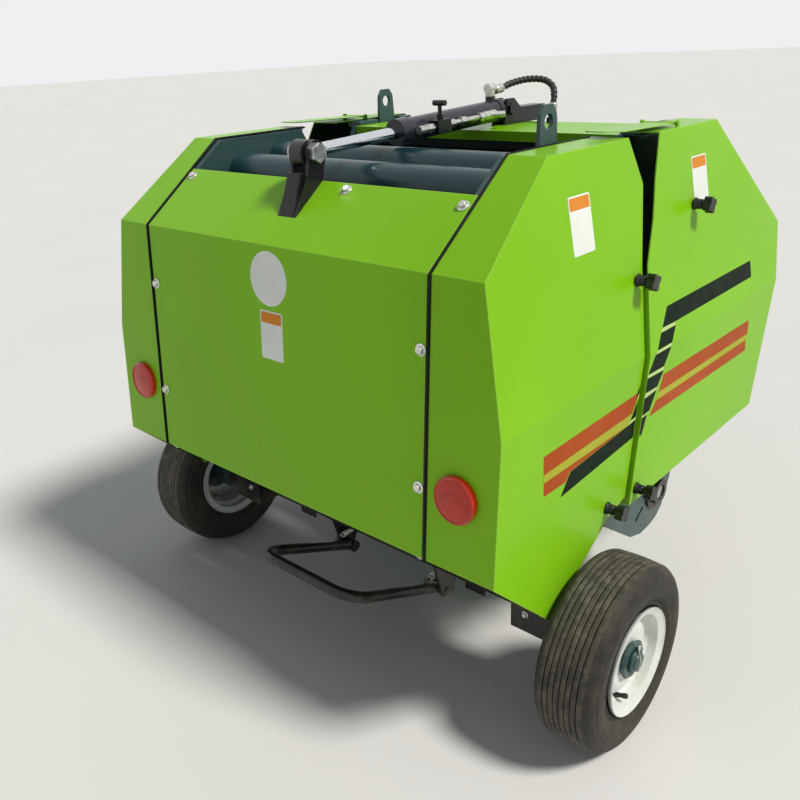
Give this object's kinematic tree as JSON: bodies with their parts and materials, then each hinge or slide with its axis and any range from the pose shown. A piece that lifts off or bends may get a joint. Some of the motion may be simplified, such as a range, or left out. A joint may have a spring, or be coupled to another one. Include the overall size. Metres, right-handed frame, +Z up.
{
  "type": "round baler",
  "caption": "Small towed round baler with a fixed roller chamber, a rear gate raised by a top cylinder, a tined pickup, a drawbar with a parking jack and ribbed tyres.",
  "frame": {"origin": "middle of the box on the ground", "axes": "+X to the machine's right, +Y forward to the hitch, +Z up"},
  "size_m": [1.406, 1.9034, 1.2547],
  "materials": {
    "body_paint": "gloss",
    "pickup_paint": "gloss",
    "structure_paint": "satin",
    "black_paint": "satin",
    "roller_steel": "worn",
    "zinc": "zinc plated",
    "rod_chrome": "polished",
    "knob_plastic": "moulded",
    "reflector_red": "translucent look",
    "hose_rubber": "matt",
    "rim_paint": "gloss",
    "tyre_rubber": "matt"
  },
  "bodies": {
    "chassis": {"frame_side_plates": "structure_paint", "frame_bearings": "black_paint", "chassis_rails": "black_paint", "axle_beam": "black_paint", "top_panel": "body_paint", "front_panel": "body_paint", "twine_box": "structure_paint", "front_cover_left": "body_paint", "front_cover_right": "body_paint", "front_rollers": "roller_steel", "cover_knobs_front": "knob_plastic", "lifting_lug_front": "structure_paint", "cylinder_anchor": "black_paint", "drawbar": "black_paint", "hitch_eye": "black_paint", "jack_tube": "structure_paint", "jack_crank": "black_paint", "gearbox": "structure_paint", "pickup_frame": "structure_paint", "pickup_bracket": "black_paint", "pickup_strippers": "pickup_paint", "hydraulic_hose": "hose_rubber", "ramp_springs": "zinc"},
    "tailgate": {"tailgate_panel": "body_paint", "tailgate_side_plates": "structure_paint", "tailgate_rollers": "roller_steel", "gate_bearings": "black_paint", "rear_cover_left": "body_paint", "rear_cover_right": "body_paint", "cover_knobs_rear": "knob_plastic", "lifting_lug_rear": "structure_paint", "reflectors": "reflector_red", "cylinder_clevis": "black_paint"},
    "cylinder_barrel": {"cylinder_barrel": "structure_paint", "cylinder_lines": "zinc", "shutoff_valve": "black_paint"},
    "cylinder_rod": {"cylinder_rod": "rod_chrome"},
    "flap_left": {"flap_left": "body_paint"},
    "flap_right": {"flap_right": "body_paint"},
    "pickup_reel": {"pickup_reel": "zinc"},
    "pto_shaft": {"pto_shaft": "zinc"},
    "wheel_left": {"wheel_rim_left": "rim_paint", "wheel_hub_left": "structure_paint", "tyre_left": "tyre_rubber"},
    "wheel_right": {"wheel_rim_right": "rim_paint", "wheel_hub_right": "structure_paint", "tyre_right": "tyre_rubber"},
    "bale_ramp": {"bale_ramp": "black_paint"},
    "jack_leg": {"jack_leg": "zinc"},
    "twine_box_lid": {"twine_box_lid": "body_paint"}
  },
  "joints": [
    {"name": "tailgate_hinge", "type": "hinge", "parent": "chassis", "child": "tailgate", "pos_m": [0, -0.411, 0.917], "axis": [-1, 0, 0], "range_deg": [0, 40]},
    {"name": "cylinder_barrel_swing", "type": "hinge", "parent": "chassis", "child": "cylinder_barrel", "pos_m": [0, -0.122, 1.182], "axis": [-1, 0, 0], "range_deg": [-2, 26], "deforming": ["hydraulic_hose"]},
    {"name": "cylinder_rod_slide", "type": "slide", "parent": "cylinder_barrel", "child": "cylinder_rod", "axis": [0, 0.9992, 0.0409], "range_m": [0, 0.2135]},
    {"name": "flap_left_hinge", "type": "hinge", "parent": "chassis", "child": "flap_left", "pos_m": [-0.445, -0.196, 1.164], "axis": [-1, 0, 0], "range_deg": [0, 22.5]},
    {"name": "flap_right_hinge", "type": "hinge", "parent": "chassis", "child": "flap_right", "pos_m": [0.445, -0.196, 1.164], "axis": [-1, 0, 0], "range_deg": [0, 22.5]},
    {"name": "pickup_spin", "type": "hinge", "parent": "chassis", "child": "pickup_reel", "pos_m": [0, -0.152, 0.285], "axis": [1, 0, 0], "continuous": true},
    {"name": "pto_spin", "type": "hinge", "parent": "chassis", "child": "pto_shaft", "pos_m": [0, 0.296, 0.575], "axis": [0, 1, 0], "continuous": true},
    {"name": "wheel_left_spin", "type": "hinge", "parent": "chassis", "child": "wheel_left", "pos_m": [-0.636, -0.653, 0.198], "axis": [-1, 0, 0], "continuous": true},
    {"name": "wheel_right_spin", "type": "hinge", "parent": "chassis", "child": "wheel_right", "pos_m": [0.636, -0.653, 0.198], "axis": [1, 0, 0], "continuous": true},
    {"name": "bale_ramp_hinge", "type": "hinge", "parent": "chassis", "child": "bale_ramp", "pos_m": [0, -0.607, 0.108], "axis": [1, 0, 0], "range_deg": [0, 9], "stiffness_Nm_per_rad": 120, "springref_deg": -5.73, "deforming": ["ramp_springs"]},
    {"name": "jack_leg_slide", "type": "slide", "parent": "chassis", "child": "jack_leg", "axis": [0, 0, 1], "range_m": [0, 0.145]},
    {"name": "twine_box_lid_hinge", "type": "hinge", "parent": "chassis", "child": "twine_box_lid", "pos_m": [0, 0.044, 1.091], "axis": [1, 0, 0], "range_deg": [0, 75]}
  ],
  "couplings": [
    {"joint": "cylinder_barrel_swing", "follows": "tailgate_hinge", "ratio": 0.5685},
    {"joint": "cylinder_rod_slide", "follows": "tailgate_hinge", "m_per_rad": 0.3045},
    {"joint": "flap_left_hinge", "follows": "tailgate_hinge", "ratio": 0.55},
    {"joint": "flap_right_hinge", "follows": "tailgate_hinge", "ratio": 0.55}
  ]
}
